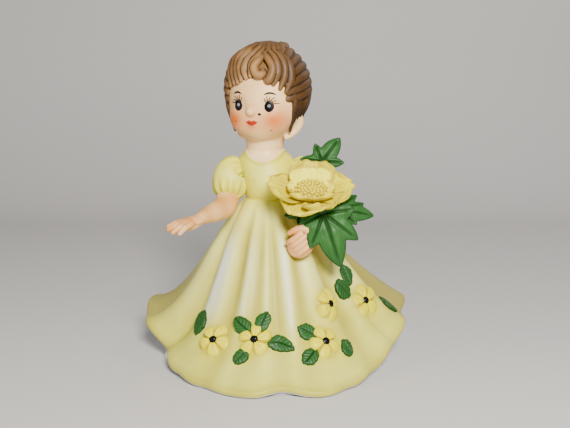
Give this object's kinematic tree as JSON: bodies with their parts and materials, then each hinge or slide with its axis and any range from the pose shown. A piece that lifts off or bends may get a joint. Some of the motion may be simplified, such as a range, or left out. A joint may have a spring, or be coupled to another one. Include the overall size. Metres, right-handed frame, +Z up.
{
  "type": "porcelain girl figurine",
  "caption": "Hollow bisque porcelain figurine of a girl in a flared, folded dress, one arm held out and a large flower in the other hand.",
  "frame": {"origin": "middle of the flat foot, on the surface the figurine stands on", "axes": "+Z up, from the foot to the top of the hair; -Y the way the figurine faces; -X its right hand"},
  "size_m": [0.1151, 0.1076, 0.1296],
  "materials": {
    "dress_bisque": "satin",
    "bare_bisque": "matte",
    "skin_bisque": "satin",
    "hair_bisque": "satin",
    "petal_bisque": "matte",
    "leaf_bisque": "satin",
    "black_glaze": "gloss"
  },
  "bodies": {
    "root": {"base_plate": "bare_bisque", "skirt_shell": "dress_bisque", "bodice": "dress_bisque", "sleeve_right": "dress_bisque", "sleeve_left": "dress_bisque", "arm_right": "skin_bisque", "arm_left": "skin_bisque", "head": "skin_bisque", "hair": "hair_bisque", "flower_receptacle": "leaf_bisque", "bouquet_stems": "leaf_bisque", "flower_outer_petal_1": "petal_bisque", "flower_outer_petal_2": "petal_bisque", "flower_outer_petal_3": "petal_bisque", "flower_outer_petal_4": "petal_bisque", "flower_outer_petal_5": "petal_bisque", "flower_inner_petal_1": "petal_bisque", "flower_inner_petal_2": "petal_bisque", "flower_inner_petal_3": "petal_bisque", "flower_inner_petal_4": "petal_bisque", "flower_stamens": "petal_bisque", "bouquet_leaf_top": "leaf_bisque", "bouquet_leaf_right": "leaf_bisque", "bouquet_leaf_front": "leaf_bisque", "bouquet_leaf_inner": "leaf_bisque", "skirt_blossom_1": "petal_bisque", "blossom_centre_1": "black_glaze", "skirt_blossom_2": "petal_bisque", "blossom_centre_2": "black_glaze", "skirt_blossom_3": "petal_bisque", "blossom_centre_3": "black_glaze", "skirt_blossom_4": "petal_bisque", "blossom_centre_4": "black_glaze", "skirt_blossom_5": "petal_bisque", "blossom_centre_5": "black_glaze", "skirt_leaf_1": "leaf_bisque", "skirt_leaf_2": "leaf_bisque", "skirt_leaf_3": "leaf_bisque", "skirt_leaf_4": "leaf_bisque", "skirt_leaf_5": "leaf_bisque", "skirt_leaf_6": "leaf_bisque", "skirt_leaf_7": "leaf_bisque", "skirt_leaf_8": "leaf_bisque", "skirt_leaf_9": "leaf_bisque", "skirt_leaf_10": "leaf_bisque", "skirt_leaf_11": "leaf_bisque"}
  },
  "joints": []
}
